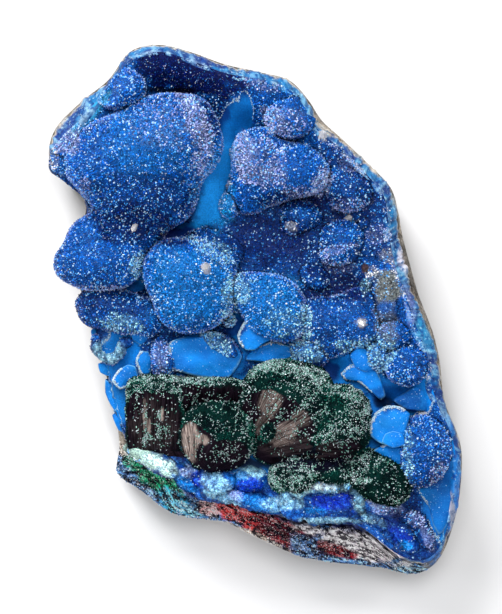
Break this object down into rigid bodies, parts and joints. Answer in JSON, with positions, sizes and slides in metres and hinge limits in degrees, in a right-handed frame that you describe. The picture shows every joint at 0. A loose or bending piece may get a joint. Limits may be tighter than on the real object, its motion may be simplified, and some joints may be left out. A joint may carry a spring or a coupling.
{
  "type": "shattuckite mineral specimen",
  "caption": "Natural blue botryoidal shattuckite crust with sparkling quartz druse and dark green malachite sprays on a broken slab of host rock with a flat sawn back.",
  "frame": {"origin": "on the flat sawn back, under the middle of the specimen's outline", "axes": "+Z out of the crust's face, away from the sawn back; +Y towards the high narrow end above the big blue dome; +X towards the long right side"},
  "size_m": [0.063, 0.0808, 0.0303],
  "materials": {
    "host_rock": "rough broken rock, sawn flat on its back, stained blue, green, red and white near the crust",
    "shattuckite": "deep to azure blue botryoidal crust, part smooth and matt, part under a sparkling quartz druse",
    "malachite": "dark green-black silky sprays of fine needles, with a dust of white quartz",
    "quartz": "clear to milky crystal"
  },
  "bodies": {
    "root": {"host_rock": "host_rock", "shattuckite_crust": "shattuckite", "malachite_sprays": "malachite", "quartz_crystal_top_right": "quartz", "quartz_crystal_rim": "quartz", "quartz_crystal_upper_left": "quartz", "quartz_crystal_under_dome": "quartz", "quartz_crystal_middle_right": "quartz", "quartz_crystal_centre_ball": "quartz", "quartz_crystal_lower_right": "quartz", "quartz_crystal_far_right": "quartz"}
  },
  "joints": []
}
